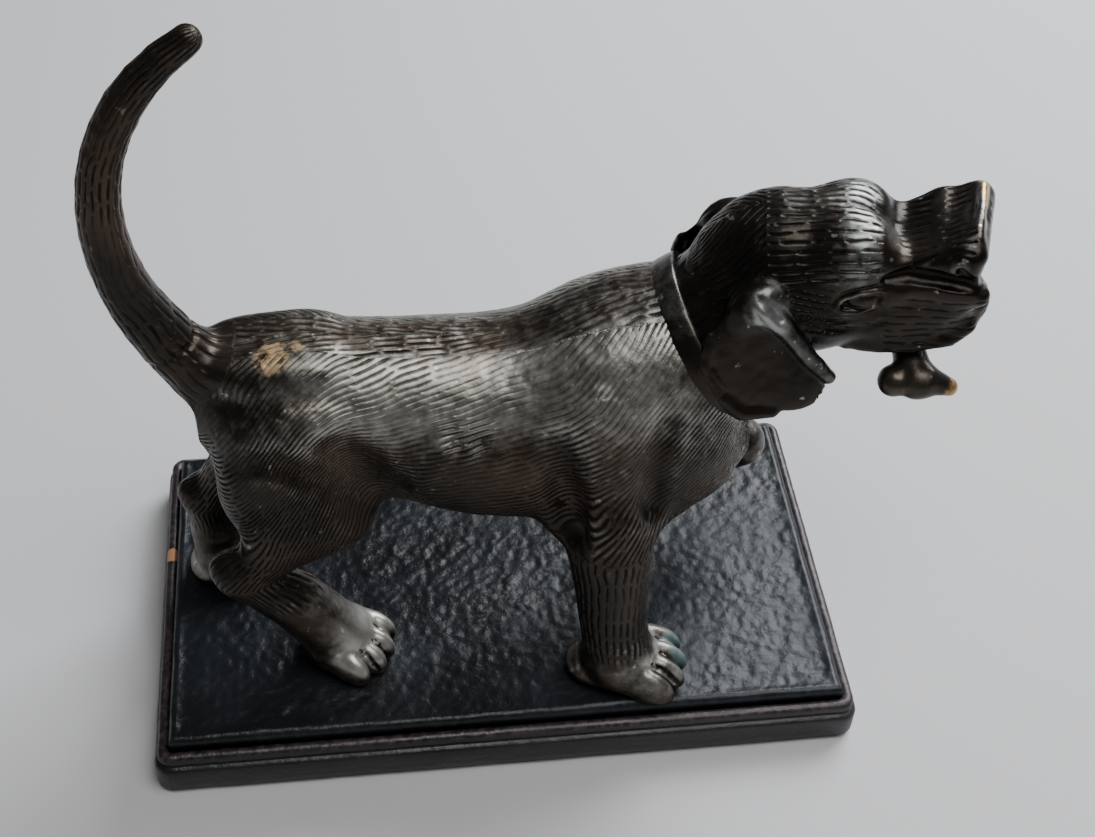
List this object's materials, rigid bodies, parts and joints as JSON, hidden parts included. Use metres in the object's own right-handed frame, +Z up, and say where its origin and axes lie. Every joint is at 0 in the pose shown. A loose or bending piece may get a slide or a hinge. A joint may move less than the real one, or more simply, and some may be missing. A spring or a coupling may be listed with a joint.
{
  "type": "hound paperweight",
  "caption": "Desk paperweight: cast bronze hound with a bone in its mouth and one forepaw raised, screwed to a rectangular moulded base with felt underneath.",
  "frame": {"origin": "centre of the felt underside, where the paperweight rests", "axes": "+X the way the dog faces along the base, +Y to the side of its raised foreleg, +Z up"},
  "size_m": [0.134, 0.07, 0.1305],
  "materials": {
    "bronze_body": "dark brown patina, rubbed to grey bronze on high spots",
    "bronze_head": "near-black brown patina, rubbed bright on the nose",
    "bronze_bright": "worn bronze",
    "base_black": "black enamel, worn along the edges",
    "ground_black": "black, stippled",
    "steel": "plain",
    "felt": "pressed wool felt"
  },
  "bodies": {
    "root": {"plinth": "base_black", "ground_plate": "ground_black", "felt_pad": "felt", "foot_screws": "steel", "foot_washers": "steel", "plate_screws": "steel", "torso": "bronze_body", "near_foreleg": "bronze_body", "raised_foreleg": "bronze_body", "near_hind_leg": "bronze_body", "far_hind_leg": "bronze_body", "tail": "bronze_body", "head": "bronze_head", "lower_jaw": "bronze_head", "near_ear": "bronze_head", "far_ear": "bronze_head", "collar": "bronze_head", "bone": "bronze_bright", "leg_dowels": "bronze_bright", "ear_pins": "bronze_bright", "tail_pin": "bronze_bright", "neck_stud": "bronze_bright"}
  },
  "joints": []
}
